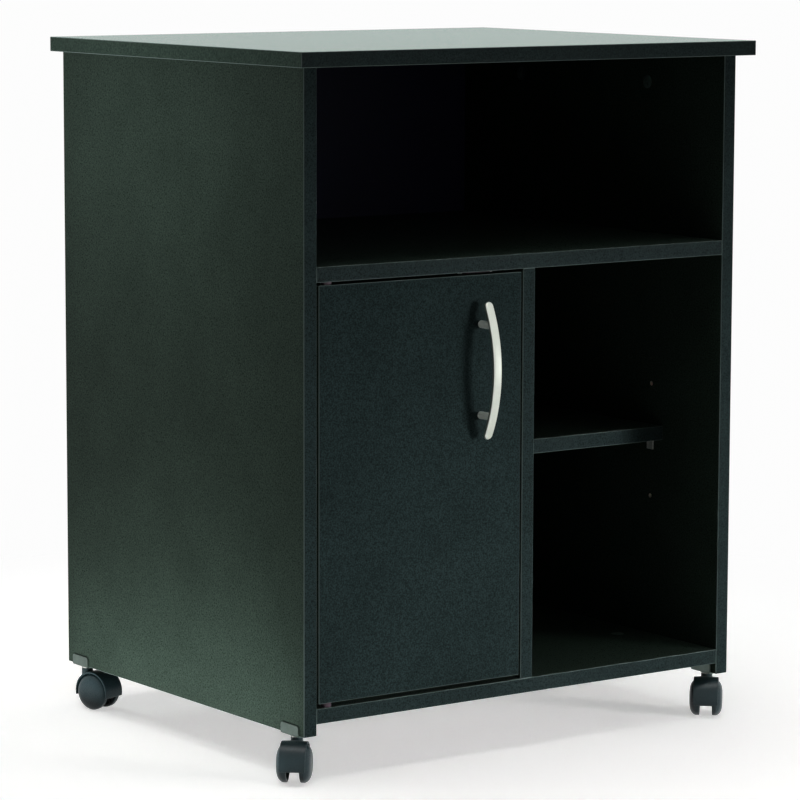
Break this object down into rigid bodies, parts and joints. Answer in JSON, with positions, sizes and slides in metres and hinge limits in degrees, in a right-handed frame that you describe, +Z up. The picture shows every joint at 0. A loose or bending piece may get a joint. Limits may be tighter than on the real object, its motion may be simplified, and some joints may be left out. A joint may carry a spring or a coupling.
{
  "type": "printer stand",
  "caption": "Black board printer stand on casters: an open bay under the top, a cupboard with an inset door and bow handle beside an open bay with an adjustable shelf.",
  "frame": {"origin": "on the floor, under the middle of the box round the whole stand at rest, handle and casters included", "axes": "+Z up, +Y to the back (the door and the open bays face -Y), +X to the right seen from the front"},
  "size_m": [0.6264, 0.5091, 0.75],
  "materials": {
    "board": "satin black melamine on particle board",
    "hardboard": "matt black printed face on hardboard",
    "dark_zinc": "grey zinc plating, dull",
    "bright_steel": "bright zinc plating",
    "satin_nickel": "satin nickel plating",
    "grey_nickel": "dull nickel plating",
    "beech": "bare fluted beech",
    "brown_nylon": "moulded nylon",
    "ferrite": "sintered ferrite, dark grey",
    "black_nylon": "moulded nylon, satin"
  },
  "bodies": {
    "cabinet": {"top_panel": "board", "side_panel_left": "board", "side_panel_right": "board", "middle_shelf": "board", "bottom_shelf": "board", "divider": "board", "back_panel": "hardboard", "adjustable_shelf": "board", "shelf_pins": "bright_steel", "cam_locks": "dark_zinc", "cam_bolts": "dark_zinc", "wood_dowels": "beech", "back_nails": "bright_steel", "hinge_bush_top": "brown_nylon", "hinge_bush_bottom": "brown_nylon", "catch_housing": "brown_nylon", "catch_poles": "bright_steel", "catch_magnet": "ferrite", "catch_screws": "bright_steel", "caster_clips": "dark_zinc", "caster_sockets": "dark_zinc", "caster_stems": "bright_steel"},
    "door": {"door": "board", "hinge_pin_top": "bright_steel", "hinge_pin_bottom": "bright_steel", "handle_bar": "satin_nickel", "handle_posts": "grey_nickel", "handle_screws": "bright_steel", "strike_plate": "bright_steel", "strike_screw": "bright_steel"},
    "caster_fl": {"caster_hood_fl": "black_nylon", "caster_axle_fl": "bright_steel"},
    "wheel_left_fl": {"wheel_left_fl": "black_nylon"},
    "wheel_right_fl": {"wheel_right_fl": "black_nylon"},
    "caster_fr": {"caster_hood_fr": "black_nylon", "caster_axle_fr": "bright_steel"},
    "wheel_left_fr": {"wheel_left_fr": "black_nylon"},
    "wheel_right_fr": {"wheel_right_fr": "black_nylon"},
    "caster_rl": {"caster_hood_rl": "black_nylon", "caster_axle_rl": "bright_steel"},
    "wheel_left_rl": {"wheel_left_rl": "black_nylon"},
    "wheel_right_rl": {"wheel_right_rl": "black_nylon"},
    "caster_rr": {"caster_hood_rr": "black_nylon", "caster_axle_rr": "bright_steel"},
    "wheel_left_rr": {"wheel_left_rr": "black_nylon"},
    "wheel_right_rr": {"wheel_right_rr": "black_nylon"}
  },
  "joints": [
    {"name": "door_hinge", "type": "hinge", "parent": "cabinet", "child": "door", "pos_m": [-0.25211, -0.21549, 0.0809], "axis": [0, 0, -1], "range_deg": [0, 120]},
    {"name": "swivel_fl", "type": "hinge", "parent": "cabinet", "child": "caster_fl", "pos_m": [-0.27655, -0.19844, 0.0443], "axis": [0, 0, 1], "continuous": true},
    {"name": "roll_left_fl", "type": "hinge", "parent": "caster_fl", "child": "wheel_left_fl", "pos_m": [-0.28792, -0.21107, 0.02], "axis": [-0.7431, 0.6691, 0], "continuous": true},
    {"name": "roll_right_fl", "type": "hinge", "parent": "caster_fl", "child": "wheel_right_fl", "pos_m": [-0.28792, -0.21107, 0.02], "axis": [-0.7431, 0.6691, 0], "continuous": true},
    {"name": "swivel_fr", "type": "hinge", "parent": "cabinet", "child": "caster_fr", "pos_m": [0.27655, -0.19844, 0.0443], "axis": [0, 0, 1], "continuous": true},
    {"name": "roll_left_fr", "type": "hinge", "parent": "caster_fr", "child": "wheel_left_fr", "pos_m": [0.26517, -0.21107, 0.02], "axis": [-0.7431, 0.6691, 0], "continuous": true},
    {"name": "roll_right_fr", "type": "hinge", "parent": "caster_fr", "child": "wheel_right_fr", "pos_m": [0.26517, -0.21107, 0.02], "axis": [-0.7431, 0.6691, 0], "continuous": true},
    {"name": "swivel_rl", "type": "hinge", "parent": "cabinet", "child": "caster_rl", "pos_m": [-0.27655, 0.22256, 0.0443], "axis": [0, 0, 1], "continuous": true},
    {"name": "roll_left_rl", "type": "hinge", "parent": "caster_rl", "child": "wheel_left_rl", "pos_m": [-0.27158, 0.2063, 0.02], "axis": [-0.9563, -0.2924, 0], "continuous": true},
    {"name": "roll_right_rl", "type": "hinge", "parent": "caster_rl", "child": "wheel_right_rl", "pos_m": [-0.27158, 0.2063, 0.02], "axis": [-0.9563, -0.2924, 0], "continuous": true},
    {"name": "swivel_rr", "type": "hinge", "parent": "cabinet", "child": "caster_rr", "pos_m": [0.27655, 0.22256, 0.0443], "axis": [0, 0, 1], "continuous": true},
    {"name": "roll_left_rr", "type": "hinge", "parent": "caster_rr", "child": "wheel_left_rr", "pos_m": [0.28792, 0.20993, 0.02], "axis": [-0.7431, -0.6691, 0], "continuous": true},
    {"name": "roll_right_rr", "type": "hinge", "parent": "caster_rr", "child": "wheel_right_rr", "pos_m": [0.28792, 0.20993, 0.02], "axis": [-0.7431, -0.6691, 0], "continuous": true}
  ]
}
